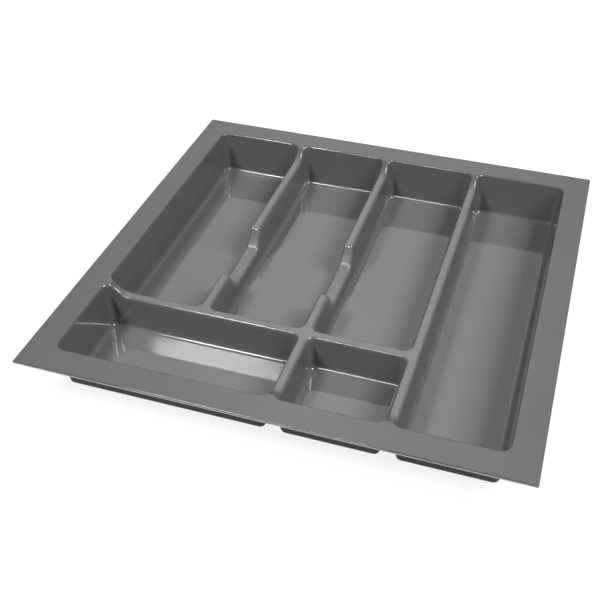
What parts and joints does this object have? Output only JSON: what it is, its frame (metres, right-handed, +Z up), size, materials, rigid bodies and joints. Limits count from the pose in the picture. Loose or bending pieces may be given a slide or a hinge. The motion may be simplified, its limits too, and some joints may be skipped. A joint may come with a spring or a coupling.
{
  "type": "drawer cutlery tray",
  "caption": "Square vacuum-formed plastic drawer insert with a wide flat trimming rim, drafted cutlery wells and hollow dividers with finger notches.",
  "frame": {"origin": "middle of the tray on the plane that the well floors stand on", "axes": "+X to the right, +Y to the back of the drawer, +Z up out of the wells"},
  "size_m": [0.49, 0.49, 0.0512],
  "materials": {
    "grey_plastic": "smooth glossy, dark grey"
  },
  "bodies": {
    "root": {"rim_flange": "grey_plastic", "left_divider": "grey_plastic", "middle_divider": "grey_plastic", "right_divider": "grey_plastic", "cross_divider": "grey_plastic", "front_divider": "grey_plastic", "knife_well": "grey_plastic", "fork_well": "grey_plastic", "spoon_well": "grey_plastic", "long_side_well": "grey_plastic", "wide_front_well": "grey_plastic", "small_front_well": "grey_plastic"}
  },
  "joints": []
}
